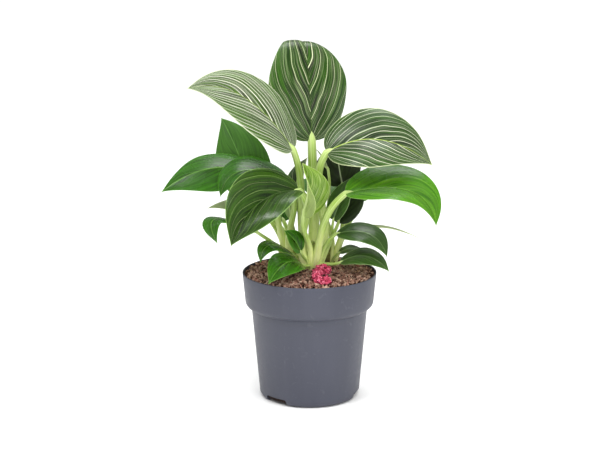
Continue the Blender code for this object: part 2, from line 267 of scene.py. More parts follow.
class BladeKind(Enum):
    """Finish of each sort of leaf on the plant."""

    PALE_STRIPED = BladeFinish(
        "pale_striped", "1c2e06", "3c600c", "ffffec", "eef4d4", "8fa651", "a9bd83",
        1.0, 0.24, 11, 3.2, rim_width=1.0, rib_width=0.8,
    )
    DARK_STRIPED = BladeFinish(
        "dark_striped", "091803", "2a5204", "f2fac8", "4f7c1c", "3c5418", "7c9a58",
        1.0, 0.16, 22, 2.4, rib_width=0.5,
    )
    STRIPED = BladeFinish(
        "striped", "0d2203", "294e06", "f8fddc", "dfeab4", "a8c250", "93ab70",
        1.0, 0.12, 13.5, 2.4, rim_width=0.9, rib_width=1.0,
    )
    BRIGHT = BladeFinish(
        "bright", "265606", "44800a", "8fb83c", "6b9a3c", "6d9a34", roughness=0.27, streaks=0.3,
    )
    GLOSSY = BladeFinish("glossy", "183803", "2f6606", rim="5c9430", rib="5f8a34", roughness=0.27)
    MATTE = BladeFinish("matte", "2a520e", "3a6a14", rim="5c8a38", rib="5c8a3a", roughness=0.5)
    DULL = BladeFinish(
        "dull", "14260a", "2c4c0c", "a4b874", "94ba60", "5f7848", stripes=0.45, streaks=0.04,
        vein_gap=20, stripe_width=1.8, roughness=0.27,
    )
    # Painted shade: near-black greens for blades deep in the crown, standing in for the shadow they
    # lie in, not their own green.
    SHADED = BladeFinish("painted_shade", "121a0a", "213012", rim="3b5a2c", rib="a9b494", under="43533a")
    GREY = BladeFinish("grey", "263f14", "34541c", rim="86a06a", rib="6d8a50", roughness=0.3)
    # Painted light: washed-out pale greens that stand in for the light on these blades, not their
    # own green. The finish keeps the name pale.
    PAINTED_LIGHT = BladeFinish("pale", "93a468", "a8b87c", rim="bcc894", rib="98a96c", under="a6b480")
    YOUNG = BladeFinish(
        "young", "466c0a", "688e16", "d3e090", "b9cc7c", "a4be4c", "9cb068",
        stripes=0.35, streaks=0.4, vein_gap=7, stripe_width=1.2,
    )


@dataclass(frozen=True)
class StalkFinish:
    """Skin of a living leaf stalk: juicy, smooth and lightly grooved, paler at both ends."""

    foot: str = "f4fca8"
    middle: str = "8fae45"
    top: str = "e2ecb8"
    mottled: str = "e4ebb4"

    def material(self) -> bpy.types.Material:
        """Make the stalk's material, which reads the place along and round the stalk."""
        r = Recipe("stalk_skin")
        place = r.add("Attribute", attribute_name="stalk_place")
        share, east, north = r.add("SeparateXYZ", [place.outputs["Vector"]]).outputs
        stretched = r.add("Math", [share, 2.5], operation="MULTIPLY")
        round_it = r.add("CombineXYZ", [east, north, stretched])
        grooves = r.add("TexNoise", {"Vector": round_it, "Scale": 3.5, "Detail": 3.0})
        lower = r.add("MapRange", [share, 0.05, 0.35])
        upper = r.add("MapRange", [share, 0.5, 1.0])
        colour = r.add("Mix", [lower, self.foot, self.middle], data_type="RGBA")
        colour = r.add("Mix", [upper, colour, self.top], data_type="RGBA")
        mottle = r.add("MapRange", [grooves, 0.4, 0.75, 0, 0.5])
        colour = r.add("Mix", [mottle, colour, self.mottled], data_type="RGBA")
        relief = r.add("Bump", {"Height": grooves, "Distance": 0.3 * MM, "Strength": 0.35})
        gloss = r.add("MapRange", [grooves, 0, 1, 0.34, 0.5])
        r.fill(r.shader, {"Base Color": colour, "Roughness": gloss, "Normal": relief, "IOR": 1.42})
        return r.material


@dataclass(frozen=True)
class StemFinish:
    """Young stem, green with corky brown rings where old stalks came off."""

    green: str = "8a9a4e"
    brown: str = "5c4a34"
    cloud: float = 3.85 * MM  # across the blotches
    brown_top: float = 118 * MM  # the stem is brown up to this height
    fade: float = 10 * MM  # over which the brown ends

    def material(self) -> bpy.types.Material:
        """Make the stem's material, with a scar at each ring."""
        r = Recipe("stem_skin")
        spot = r.add("TexCoord").outputs["Object"]
        cloud = r.add("TexNoise", {"Vector": spot, "Scale": 1 / self.cloud, "Detail": 4.0})
        height = r.add("SeparateXYZ", [spot]).outputs["Z"]
        rings = r.add("Math", [height, 1 / STEM_RING, cloud], operation="MULTIPLY_ADD")
        share = r.add("Math", [rings], operation="FRACT")
        scar = r.add("MapRange", [share, 0.0, 0.35, 0.8, 0.1])
        colour = r.add("Mix", [scar, self.green, self.brown], data_type="RGBA")
        end = self.brown_top + self.fade
        low = r.add("MapRange", [height, self.brown_top, end, 0.9, 0])
        colour = r.add("Mix", [low, colour, self.brown], data_type="RGBA")
        relief = r.add("Bump", {"Height": cloud, "Distance": 0.4 * MM})
        rough = r.add("MapRange", [cloud, 0, 1, 0.5, 0.75])
        r.fill(r.shader, {"Base Color": colour, "Roughness": rough, "Normal": relief, "IOR": 1.42})
        return r.material


@dataclass(frozen=True)
class PotFinish:
    """Injection-moulded polypropylene: even slate grey, satin, with faint flow marks."""

    colour: str = "3e404c"
    worn: str = "474955"
    scuffed: str = "585a63"
    flow: float = 18.2 * MM  # across the flow marks
    scuff: float = 8.33 * MM  # across the scuffs
    grain: float = 0.5 * MM  # coarser than real, so that it shows

    def material(self) -> bpy.types.Material:
        """Make the pot's material: upright flow marks, a fine grain and a few scuffs."""
        r = Recipe("moulded_polypropylene")
        spot = r.add("TexCoord").outputs["Object"]
        stretch = r.add("Mapping", {"Vector": spot, "Scale": (1.0, 1.0, 0.12)})
        flow = r.add("TexNoise", {"Vector": stretch, "Scale": 1 / self.flow, "Detail": 3.0})
        grain = r.add("TexNoise", {"Vector": spot, "Scale": 1 / self.grain, "Detail": 1.0})
        marks = {"Vector": spot, "Scale": 1 / self.scuff, "Detail": 6.0, "Distortion": 1.5}
        scuffs = r.add("TexNoise", marks)
        worn = r.add("MapRange", [scuffs, 0.6, 0.75, 0, 0.5])
        tone = r.add("MapRange", [flow, 0.35, 0.65, 0, 0.5])
        colour = r.add("Mix", [tone, self.colour, self.worn], data_type="RGBA")
        colour = r.add("Mix", [worn, colour, self.scuffed], data_type="RGBA")
        bumps = r.add("Math", [flow, 4.0, grain], operation="MULTIPLY_ADD")
        relief = r.add("Bump", {"Height": bumps, "Distance": 0.06 * MM, "Strength": 0.5})
        gloss = r.add("MapRange", [scuffs, 0.3, 0.7, 0.42, 0.54])
        r.fill(r.shader, {"Base Color": colour, "Roughness": gloss, "Normal": relief, "IOR": 1.49})
        return r.material


@dataclass(frozen=True)
class CrumbFinish:
    """Loose matter whose bits differ in colour, such as potting mix or cut fibre."""

    name: str
    colours: tuple[str, ...]
    bump: float = 0.3 * MM
    speckle: float = 1.2 * MM  # across the speckles

    def material(self) -> bpy.types.Material:
        """Make a dull material that takes each bit's own tint along a run of colours."""
        r = Recipe(self.name)
        tint = r.add("Attribute", attribute_name="tint").outputs["Fac"]
        spot = r.add("TexCoord").outputs["Object"]
        speckle = r.add("TexNoise", {"Vector": spot, "Scale": 1 / self.speckle, "Detail": 4.0})
        mixed = r.add("Math", [speckle, 0.7, tint], operation="MULTIPLY_ADD")
        moved = r.add("Math", [mixed, 0.35], operation="SUBTRACT")
        ramp = r.add("ValToRGB", [moved])
        stops = ramp.color_ramp.elements
        for _ in self.colours[2:]:
            stops.new(0.5)
        for i, code in enumerate(self.colours):
            stops[i].position = i / (len(self.colours) - 1)
            stops[i].color = linear(code)
        relief = r.add("Bump", {"Height": speckle, "Distance": self.bump})
        rough = r.add("MapRange", [speckle, 0, 1, 0.8, 1.0])
        r.fill(r.shader, {"Base Color": ramp, "Roughness": rough, "Normal": relief, "IOR": 1.4})
        return r.material


# Meshes


def mesh_of(name: str, cage: bmesh.types.BMesh) -> bpy.types.Mesh:
    """Turn a bmesh into a mesh, and free it."""
    mesh = bpy.data.meshes.new(name)
    cage.to_mesh(mesh)
    cage.free()
    return mesh


def placed(name: str, data: bpy.types.ID) -> bpy.types.Object:
    """Put a mesh, a light or a camera into the scene as an object."""
    made = bpy.data.objects.new(name, data)
    bpy.context.scene.collection.objects.link(made)
    return made


def piece(
    mesh: bpy.types.Mesh, paint: bpy.types.Material, node: str, sharp: float = 40
) -> bpy.types.Object:
    """Make an object of a finished mesh and tie it to the frame.

    Args:
        mesh: Its mesh, in place, whose name it takes.
        paint: Material of the whole piece.
        node: CAD node that it replaces.
        sharp: Edges that turn by more degrees than this stay sharp.

    Returns:
        The object, which rides on the plant's one body.
    """
    mesh.materials.append(paint)
    mesh.shade_smooth()
    mesh.set_sharp_from_angle(angle=math.radians(sharp))
    made = placed(mesh.name, mesh)
    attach(made, BODY)
    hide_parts(node)
    log.info("%s: %d faces for %s", mesh.name, len(mesh.polygons), node)
    return made


def arc(centre: Pair, radius: float, start: float, end: float, count: int) -> list[Pair]:
    """Points on an arc from one angle to another, in degrees, in so many steps."""
    turns = [math.radians(start + (end - start) * i / count) for i in range(count + 1)]
    return [(centre[0] + radius * math.cos(a), centre[1] + radius * math.sin(a)) for a in turns]


def turned(profile: Sequence[Pair], steps: int) -> bmesh.types.BMesh:
    """Spin a profile of radius and height once round Z.

    Args:
        profile: Points from one end of the profile to the other.
        steps: Number of steps round.

    Returns:
        The welded mesh, with its faces outwards.
    """
    cage = bmesh.new()
    points = [cage.verts.new((radius, 0, height)) for radius, height in profile]
    edges = [cage.edges.new(pair) for pair in zip(points, points[1:])]
    whole = {"axis": (0, 0, 1), "cent": (0, 0, 0), "angle": math.tau, "use_merge": True}
    bmesh.ops.spin(cage, geom=points + edges, steps=steps, **whole)
    bmesh.ops.remove_doubles(cage, verts=cage.verts, dist=0.001 * MM)
    bmesh.ops.recalc_face_normals(cage, faces=cage.faces)
    return cage


def tube(
    points: np.ndarray, radii: np.ndarray, sides: int, layer_name: str = ""
) -> bmesh.types.BMesh:
    """Wrap a grid round a path as a closed tube.

    Args:
        points: The path, one row per station.
        radii: Radius at each station.
        sides: Number of sides.
        layer_name: Name of a layer for the share along the tube and the turn round it, if any.

    Returns:
        The closed tube.
    """
    heading = np.gradient(points, axis=0)
    heading /= np.linalg.norm(heading, axis=1)[:, None]
    normals = [Vector(heading[0]).orthogonal().normalized()]
    for direction in heading[1:]:
        forward = Vector(direction)
        normals.append((normals[-1] - forward * normals[-1].dot(forward)).normalized())
    cage = bmesh.new()
    last = len(points) - 1
    layer = cage.verts.layers.float_vector.new(layer_name) if layer_name else None
    grid = bmesh.ops.create_grid(cage, x_segments=sides, y_segments=last, size=1)
    for vertex in grid["verts"]:
        station = round((vertex.co.y + 1) / 2 * last)
        east, north = math.cos(math.pi * vertex.co.x), math.sin(math.pi * vertex.co.x)
        normal = normals[station]
        offset = normal * east + Vector(heading[station]).cross(normal) * north
        vertex.co = Vector(points[station]) + offset * radii[station]
        if layer:
            vertex[layer] = (station / last, east, north)
    bmesh.ops.remove_doubles(cage, verts=cage.verts, dist=0.0001 * MM)
    bmesh.ops.holes_fill(cage, edges=cage.edges, sides=0)
    bmesh.ops.recalc_face_normals(cage, faces=cage.faces)
    return cage


def repeated(
    name: str, pattern: bmesh.types.BMesh, places: np.ndarray, tints: np.ndarray
) -> bpy.types.Mesh:
    """One mesh of many copies of a small pattern, each with points of its own.

    Args:
        name: Name of the mesh.
        pattern: The small mesh. It is freed.
        places: Points of every copy, copies by vertices by 3.
        tints: Tint of every copy, from 0 to 1.

    Returns:
        The mesh, with the attribute "tint".
    """
    small = mesh_of(name + "_pattern", pattern)
    cage = bmesh.new()
    for _ in range(len(places)):
        cage.from_mesh(small)
    mesh = mesh_of(name, cage)
    bpy.data.meshes.remove(small)
    mesh.vertices.foreach_set("co", places.astype(np.float32).ravel())
    tint = mesh.attributes.new("tint", "FLOAT", "POINT")
    tint.data.foreach_set("value", np.repeat(tints, places.shape[1]).astype(np.float32))
    mesh.update()
    return mesh


def coordinates(cage: bmesh.types.BMesh) -> np.ndarray:
    """The points of a small mesh, one row each."""
    return np.array([vertex.co[:] for vertex in cage.verts])


def random_turns(rng: np.random.Generator, count: int) -> np.ndarray:
    """Random rotation matrices, count by 3 by 3."""
    turns = np.linalg.qr(rng.normal(size=(count, 3, 3)))[0]
    return turns * np.sign(np.linalg.det(turns))[:, None, None]


def ragged(
    rng: np.random.Generator, sizes: np.ndarray, uneven: float, most: float
) -> tuple[bmesh.types.BMesh, np.ndarray]:
    """Uneven lumps, each turned its own way.

    Args:
        rng: Source of random numbers.
        sizes: Radii of every lump, lumps by 1 by 3.
        uneven: How uneven a lump is, as a share of its size.
        most: The largest dent or bump, in steps of "uneven".

    Returns:
        The pattern of one lump, and the points of every lump round its middle.
    """
    pattern = bmesh.new()
    bmesh.ops.create_icosphere(pattern, subdivisions=1, radius=1)
    shape = coordinates(pattern)
    rough = 1 + uneven * rng.normal(size=(len(sizes), len(shape), 1)).clip(-most, most)
    return pattern, (shape[None] * rough * sizes) @ random_turns(rng, len(sizes))


# Pot and what is in it


@dataclass
class NurseryPot:
    """Thin round nursery pot with a stacking band and three drain pockets."""

    height: float = 114 * MM
    rim_radius: float = 60 * MM
    band_height: float = 26 * MM
    band_taper: float = 2.4 * MM
    shoulder: float = 5.6 * MM
    wall_top_radius: float = 52 * MM
    foot_radius: float = 45 * MM
    foot_rounding: float = 5 * MM
    foot_steps: int = 8
    wall: float = 1.3 * MM
    pocket_turns: tuple[float, ...] = (-43, 77, 197)
    pocket_width: float = 24 * MM
    pocket_height: float = 6 * MM
    pocket_depth: float = 13 * MM
    drain_radius: float = 3.6 * MM
    pocket_rounding: float = 2.2 * MM
    drain_inset: float = 7 * MM
    steps: int = 144
    sharp: float = 35.0  # degrees
    finish: PotFinish = PotFinish()

    def profile(self, top: float, inset: float = 0.0) -> list[Pair]:
        """Outer face of the pot, moved inwards.

        Args:
            top: Height at which the profile starts.
            inset: How far inside the outer face it runs.

        Returns:
            Radius and height of each point, down to the middle of the underside.
        """
        band_foot = self.height - self.band_height
        band_radius = self.rim_radius - self.band_taper
        shoulder = arc((band_radius - self.shoulder, band_foot), self.shoulder - inset, 0, -80, 10)
        wall_top = (self.wall_top_radius - inset, shoulder[-1][1] - 1 * MM)
        centre = (self.foot_radius - self.foot_rounding, self.foot_rounding)
        foot = arc(centre, self.foot_rounding - inset, 0, -90, self.foot_steps)
        return [(self.rim_radius - inset, top), *shoulder, wall_top, *foot, (0, inset)]

    def pockets(self, grow: float) -> bmesh.types.BMesh:
        """Three rounded blocks that reach in under the wall.

        Args:
            grow: Margin by which each block is larger than its pocket.

        Returns:
            The blocks.
        """
        cage = bmesh.new()
        inner = self.foot_radius - self.pocket_depth - grow
        outer = self.rim_radius
        top = self.pocket_height + grow
        for turn in self.pocket_turns:
            block = bmesh.ops.create_cube(cage, size=1)["verts"]
            size = Vector((self.pocket_width + 2 * grow, outer - inner, 2 * top))
            place = Matrix.Translation((0, -(inner + outer) / 2, 0)) @ Matrix.Diagonal((*size, 1))
            spin = Matrix.Rotation(math.radians(turn), 4, "Z")
            bmesh.ops.transform(cage, matrix=spin @ place, verts=block)
            edges = list(dict.fromkeys(edge for vertex in block for edge in vertex.link_edges))
            rounding = {"offset": self.pocket_rounding, "segments": 4, "profile": 0.5}
            bmesh.ops.bevel(cage, geom=edges, affect="EDGES", **rounding)
        return cage

    def drains(self) -> bmesh.types.BMesh:
        """Cutters of the drain holes through the roofs of the pockets."""
        cage = bmesh.new()
        for turn in self.pocket_turns:
            radii = {"radius1": self.drain_radius, "radius2": self.drain_radius}
            size = {"segments": 32, "depth": self.pocket_height, **radii}
            made = bmesh.ops.create_cone(cage, cap_ends=True, **size)["verts"]
            place = Matrix.Translation((0, self.drain_inset - self.foot_radius, self.pocket_height))
            spin = Matrix.Rotation(math.radians(turn), 4, "Z")
            bmesh.ops.transform(cage, matrix=spin @ place, verts=made)
        return cage

    def shell(self) -> bmesh.types.BMesh:
        """The pot's wall with a rounded lip, before its pockets are cut."""
        lip = self.wall / 2
        outer = self.profile(self.height - lip)
        inner = self.profile(self.height - lip, self.wall)
        over = arc((self.rim_radius - lip, self.height - lip), lip, 180, 0, 6)
        return turned([*inner[::-1], *over[1:-1], *outer], self.steps)

    def build(self) -> bpy.types.Object:
        """Build the pot.

        Returns:
            The finished piece.
        """
        shell = mesh_of("pot_shell", self.shell())
        made = piece(shell, self.finish.material(), "nursery_pot")
        middle = self.height / 2
        half = self.profile(middle, self.wall / 2)[-self.foot_steps - 2 :]
        solid = turned([(0, middle), (half[0][0], middle), *half], self.steps)
        cages = {
            "fill": solid,
            "liner": self.pockets(self.wall),
            "pocket": self.pockets(0.0),
            "drain": self.drains(),
        }
        helpers = {name: placed(name, mesh_of(name, cage)) for name, cage in cages.items()}
        for target, operation, other in (
            (helpers["liner"], "INTERSECT", "fill"),
            (made, "UNION", "liner"),
            (made, "DIFFERENCE", "pocket"),
            (made, "DIFFERENCE", "drain"),
        ):
            cut = target.modifiers.new(other, "BOOLEAN")
            cut.operation = operation
            cut.object = helpers[other]
        graph = bpy.context.evaluated_depsgraph_get()
        mesh = bpy.data.meshes.new_from_object(made.evaluated_get(graph))
        made.modifiers.clear()
        made.data = mesh
        mesh.shade_smooth()
        mesh.set_sharp_from_angle(angle=math.radians(self.sharp))
        for helper in helpers.values():
            bpy.data.objects.remove(helper)
        return made


@dataclass
class PottingMix:
    """Peat and fibre, mounded round the stems: a bed, crumbs on it and loose fibres."""

    pot: NurseryPot
    drop: float = 1.2 * MM
    mound: float = 3.5 * MM
    sunk: float = 1.6 * MM  # the bed lies this far below the mound's surface
    lump: float = 1.3 * MM  # height of the bed's lumps
    coarse: float = 5 * MM  # across the large lumps
    fine: float = 2 * MM  # across the small ones
    margin: float = 3.4 * MM  # between loose bits and the pot's rim
    crumbs: int = 2200
    fibres: int = 650
    seed: int = 5
    finish: CrumbFinish = CrumbFinish(
        "moist_potting_mix",
        ("22120c", "4c2f24", "7a574a", "94705f", "a98776", "c4a893", "8a5448"),
    )

    def level(self, x: np.ndarray | float, y: np.ndarray | float) -> np.ndarray:
        """Height of the smooth mound over a point."""
        share = np.minimum(1.0, np.hypot(x, y) / self.pot.rim_radius)
        return self.pot.height - self.drop + self.mound * (1 - share * share)

    def bed(self) -> bmesh.types.BMesh:
        """The root ball: its surface is lumpy, and its side follows the pot's wall."""
        inset = self.pot.wall + GAP
        side = self.pot.profile(self.pot.height - self.drop, inset)
        rings = [(side[0][0] * i / 40, side[0][1]) for i in range(40)]
        cage = turned(rings + side, 120)
        for vertex in cage.verts:
            x, y, z = vertex.co
            if z > side[0][1] - 0.1 * MM:
                large = noise.noise(Vector((x, y, 0)) / self.coarse)
                small = noise.noise(Vector((x, y, 9 * MM)) / self.fine)
                lump = self.lump * (large + 0.6 * small)
                vertex.co.z = float(self.level(x, y)) - self.sunk + lump
        layer = cage.verts.layers.float.new("tint")
        for vertex in cage.verts:
            vertex[layer] = -0.4 if vertex.co.z < side[0][1] - 3 * MM else 0.12
        return cage

    def scatter(self, rng: np.random.Generator, count: int, lift: float) -> np.ndarray:
        """Random points on the potting mix.

        Args:
            rng: Source of random numbers.
            count: Number of points.
            lift: Height above the smooth mound.

        Returns:
            The points, count by 3.
        """
        reach = (self.pot.rim_radius - self.margin) * np.sqrt(rng.random(count))
        turn = rng.random(count) * math.tau
        x, y = reach * np.cos(turn), reach * np.sin(turn)
        return np.stack([x, y, self.level(x, y) + lift], axis=1)

    def build(self) -> list[bpy.types.Object]:
        """Build the bed, the crumbs and the fibres.

        Returns:
            The three pieces.
        """
        rng = np.random.default_rng(self.seed)
        paint = self.finish.material()
        sizes = (0.45 + 2.1 * rng.random((self.crumbs, 1, 3)) ** 2.4) * MM
        bit, local = ragged(rng, sizes, 0.35, 1.5)
        centres = self.scatter(rng, self.crumbs, -0.7 * MM)
        centres[:, 2] += rng.random(self.crumbs) * 0.9 * MM
        tints = rng.random(self.crumbs) ** 0.8
        crumbs = repeated("soil_crumbs", bit, local + centres[:, None], tints)

        strand = tube(np.linspace((0, 0, 0), (1, 0, 0), 6), np.ones(6), 4)
        places = self.strands(rng, coordinates(strand))
        fibres = repeated("soil_fibres", strand, places, rng.random(self.fibres) * 0.5 + 0.4)
        return [
            piece(mesh, paint, "potting_mix")
            for mesh in (mesh_of("soil_bed", self.bed()), crumbs, fibres)
        ]

    def strands(self, rng: np.random.Generator, shape: np.ndarray) -> np.ndarray:
        """Points of bent fibres that lie on the potting mix.

        Args:
            rng: Source of random numbers.
            shape: Points of a straight fibre of unit length and radius along X.

        Returns:
            Points of every fibre, fibres by points by 3.
        """
        centres = self.scatter(rng, self.fibres, 0.5 * MM)
        centres[:, :2] *= 0.93
        length = (2.5 + 5.5 * rng.random((self.fibres, 1))) * MM
        radius = (0.12 + 0.16 * rng.random((self.fibres, 1))) * MM
        heading = rng.random((self.fibres, 1)) * math.tau
        bend = rng.normal(size=(self.fibres, 1)) * 0.9
        tilt = rng.normal(size=(self.fibres, 1)) * 0.18
        share = shape[None, :, 0] - 0.5
        turn = heading + bend * share
        along, side = length * share, radius * shape[None, :, 1]
        x = centres[:, :1] + along * np.cos(turn) - side * np.sin(turn)
        y = centres[:, 1:2] + along * np.sin(turn) + side * np.cos(turn)
        z = centres[:, 2:] + along * tilt + radius * shape[None, :, 2]
        return np.stack([x, y, z], axis=2)


@dataclass
class FibreTuft:
    """Crumbly red tuft of cut fibre on the potting mix, open like a C towards the right."""

    soil: PottingMix
    centre: Pair = (12 * MM, -32 * MM)
    radii: Point = (10 * MM, 19 * MM, 12.5 * MM)
    ring: float = 0.62  # middle of its wall, as a share of the radii
    wall: float = 0.38  # half the wall's width, as a share of the radii
    spread: float = 0.64  # how widely its bits lie about that middle, as a share of the radii
    span: Pair = (35, 320)  # where the C starts and ends, in degrees
    lumps: int = 700
    threads: int = 260
    seed: int = 11
    finish: CrumbFinish = CrumbFinish(
        "matted_red_fibre", ("741a30", "a8324e", "c84c68", "d65f7a", "e07e95"), 0.4 * MM
    )

    def places(self, rng: np.random.Generator, count: int) -> np.ndarray:
        """Random points in the tuft.

        Args:
            rng: Source of random numbers.
            count: Number of points.

        Returns:
            The points, count by 3.
        """
        first, last = np.radians(self.span)
        turn = first + rng.random(count) * (last - first)
        reach = self.ring + self.spread * (rng.random(count) - 0.5)
        x = self.centre[0] + self.radii[0] * reach * np.cos(turn)
        y = self.centre[1] + self.radii[1] * reach * np.sin(turn)
        ridge = np.sqrt(1 - ((reach - self.ring) / self.wall) ** 2)
        back = 0.75 + 0.25 * np.sin(turn)
        top = self.radii[2] * ridge * back * (0.5 + 0.35 * rng.random(count))
        return np.stack([x, y, self.soil.level(x, y) + top * rng.random(count) ** 0.4], axis=1)

    def build(self) -> list[bpy.types.Object]:
        """Build the tuft as a heap of small ragged lumps with threads round them.

        Returns:
            The two pieces.
        """
        rng = np.random.default_rng(self.seed)
        paint = self.finish.material()
        sizes = (0.4 + 1.1 * rng.random((self.lumps, 1, 3))) * MM
        bit, local = ragged(rng, sizes, 0.4, 1.4)
        spots = local + self.places(rng, self.lumps)[:, None]
        lumps = repeated("red_tuft", bit, spots, rng.random(self.lumps))

        strand = tube(np.linspace((-0.5, 0, 0), (0.5, 0, 0), 5), np.ones(5), 4)
        shape = coordinates(strand)
        sizes = np.array([2.2, 0.17, 0.17]) * (0.7 + 0.6 * rng.random((self.threads, 1, 1))) * MM
        local = (shape[None] * sizes) @ random_turns(rng, self.threads)
        spots = local + self.places(rng, self.threads)[:, None]
        threads = repeated("red_threads", strand, spots, rng.random(self.threads))
        return [piece(mesh, paint, "red_fibre_tuft") for mesh in (lumps, threads)]


# Plant


@dataclass(frozen=True)
class Leaf:
    """How one leaf stands. Lengths are in mm and angles in degrees.

    The stalk starts "turn" round its stem, from the front to the right, and "up" above the
    potting mix. base, bend and tip steer the midrib. width is the widest half, roll turns the
    blade about its midrib and twist adds more towards the tip. fold is each half's slope
    beside the midrib, and curl its slope at the margin.
    """

    name: str
    kind: BladeKind
    turn: float
    up: float
    base: Point
    bend: Point
    tip: Point
    width: float
    roll: float
    twist: float
    fold: float
    curl: float

    def midrib(self) -> "Midrib":
        """The curve that the blade follows."""
        return Midrib(*(Vector(point) * MM for point in (self.base, self.bend, self.tip)))


class Midrib:
    """The quadratic curve of a blade's midrib, by distance from its base."""

    samples: int = 160

    def __init__(self, base: Vector, bend: Vector, tip: Vector) -> None:
        """Sample the curve that three points steer."""
        first, second = base.lerp(bend, 2 / 3), tip.lerp(bend, 2 / 3)
        found = geometry.interpolate_bezier(base, first, second, tip, self.samples)
        self.points = np.array([point[:] for point in found])
        steps = np.linalg.norm(np.diff(self.points, axis=0), axis=1)
        self.reach = np.concatenate([[0.0], np.cumsum(steps)])
        heading = np.gradient(self.points, self.reach, axis=0)
        self.heading = heading / np.linalg.norm(heading, axis=1)[:, None]
        side = (bend - base).cross(tip - bend).normalized()
        self.side = np.array(side[:])

    @property
    def length(self) -> float:
        """Length of the midrib."""
        return float(self.reach[-1])

    def at(self, distance: np.ndarray) -> tuple[np.ndarray, np.ndarray]:
        """Place and direction at distances from the base, which may be behind it.

        Args:
            distance: Distances along the midrib, in metres.

        Returns:
            The places and the directions, one row each.
        """
        place, heading = (
            np.stack([np.interp(distance, self.reach, axis) for axis in known.T], axis=1)
            for known in (self.points, self.heading)
        )
        place += heading * np.minimum(0.0, distance)[:, None]
        return place, heading


def turned_round(vectors: np.ndarray, axes: np.ndarray, angles: np.ndarray) -> np.ndarray:
    """Turn each vector round its axis.

    Args:
        vectors: One vector, or one row each.
        axes: Unit axes, one row each.
        angles: Angles in radians.

    Returns:
        The turned vectors.
    """
    c, s = np.cos(angles)[:, None], np.sin(angles)[:, None]
    along = (axes * vectors).sum(axis=1)[:, None]
    return vectors * c + np.cross(axes, vectors) * s + axes * along * (1 - c)


def inside_cad(points: np.ndarray, margin: float) -> np.ndarray:
    """Points moved, where they have to, to keep a margin inside the CAD's box."""
    return np.clip(points, np.array(CAD_BOX[0]) + margin, np.array(CAD_BOX[1]) - margin)


@dataclass
class Blade:
    """One leaf blade: two skins a little apart, joined round the margin."""

    leaf: Leaf
    order: int
    thickness: float = 0.42 * MM
    lobe: float = 0.045  # how far the lobes reach back, as a share of the length
    widest: float = 0.42  # where the blade is widest, as a share of the length
    start: float = 0.9 * MM  # least half width at the stalk
    tip_start: float = 3 * MM  # how much the least half width falls along the blade
    tip_half: float = 0.3 * MM  # least half width at the tip
    sweep: float = 0.85  # how far a side vein runs forward on its way to the margin
    bow: float = 1.1  # 1 is a straight vein, and more bends it towards the tip
    quilt: float = 0.22 * MM  # rise of the blade between side veins
    wave: float = 0.5 * MM  # how far the margin waves
    small_width: float = 17.0  # mm, a narrower leaf has a coarser mesh
    sharp: float = 60.0  # degrees

    def outline(self, along: np.ndarray) -> np.ndarray:
        """Half width as a share of the widest, from the stalk (0) to the tip (1)."""
        before = np.sqrt(1 - (1 - np.minimum(along / self.widest, 1)) ** 2)
        past = np.clip((along - self.widest) / (1 - self.widest), 0, 1)
        return before * (1 - past**1.9) ** 1.25

    def skin(self, along: np.ndarray, across: np.ndarray, level: float) -> tuple[np.ndarray, ...]:
        """Points of the upper (1), middle (0) or lower (-1) skin of the blade.

        Args:
            along: Place from the stalk (0) to the tip (1), for each point.
            across: Place from margin (-1) to margin (1), for each point.
            level: Which skin.

        Returns:
            The points, the vein coordinates in mm and the half width at each point.
        """
        leaf, rib = self.leaf, self.leaf.midrib()
        share = self.outline(along)
        back = self.lobe * across**2 * (1 - along) ** 3 * np.sqrt(share)
        place, forward = rib.at(rib.length * (along - back))
        turn = np.radians(leaf.roll + leaf.twist * along)
        side = turned_round(rib.side[None], forward, turn)
        face = np.cross(forward, side)
        tip = self.tip_half + self.tip_start * (1 - along)
        half = np.maximum(leaf.width * MM * share, np.minimum(self.start, tip))
        fold, curl = math.radians(leaf.fold), math.radians(leaf.curl)
        turning = curl - fold
        slope = fold + turning * np.abs(across)
        spread = half * (np.sin(slope) - math.sin(fold)) / turning
        lift = half * (math.cos(fold) - np.cos(slope)) / turning
        place = place + side * np.copysign(spread, across)[:, None] + face * lift[:, None]
        outward = side * np.sign(across)[:, None]
        normal = face * np.cos(slope)[:, None] - outward * np.sin(slope)[:, None]

        vein = (along - self.sweep * np.abs(across) ** self.bow) * rib.length / MM
        ribs = vein / leaf.kind.value.vein_gap + HALF_OFFSET * np.sign(across)
        middle = (4 * np.abs(across) * (1 - np.abs(across))) ** 0.5 * np.minimum(1, share)
        small = min(1.0, leaf.width / 25)
        rise = self.quilt * small * middle * np.abs(np.sin(math.pi * ribs))
        ripple = np.sin(math.tau * (along * 2.3 + 0.37 * self.order) + 1.7 * np.sign(across))
        rise += self.wave * small * np.abs(across) ** 3 * share * ripple
        place += normal * (rise + level * self.thickness / 2)[:, None]
        return place, vein, half

    def build(self) -> bpy.types.Object:
        """Build the blade.

        Returns:
            The finished piece.
        """
        columns, rows = (44, 84) if self.leaf.width > self.small_width else (26, 48)
        cage = bmesh.new()
        place_layer = cage.verts.layers.float_vector.new("leaf_place")
        edge_layer = cage.verts.layers.float_vector.new("leaf_edge")
        for level in (1, -1):
            grid = bmesh.ops.create_grid(cage, x_segments=columns, y_segments=rows, size=1)
            flat = np.array([vertex.co[:2] for vertex in grid["verts"]])
            across = flat[:, 0]
            along = (1 + np.sin(flat[:, 1] * math.pi / 2)) / 2
            places, veins, halves = self.skin(along, across, level)
            places = inside_cad(places, INSIDE)
            for i, vertex in enumerate(grid["verts"]):
                vertex.co = places[i]
                vertex[place_layer] = (veins[i], across[i], along[i])
                from_rib = halves[i] * abs(across[i]) / MM
                vertex[edge_layer] = (from_rib, halves[i] / MM - from_rib, max(0, level))
        rim = [edge for edge in cage.edges if len(edge.link_faces) == 1]
        bmesh.ops.bridge_loops(cage, edges=rim)
        bmesh.ops.recalc_face_normals(cage, faces=cage.faces)
        name, kind = self.leaf.name, self.leaf.kind
        mesh = mesh_of("leaf_" + name, cage)
        return piece(mesh, PAINTS[kind], "blade_" + name, self.sharp)


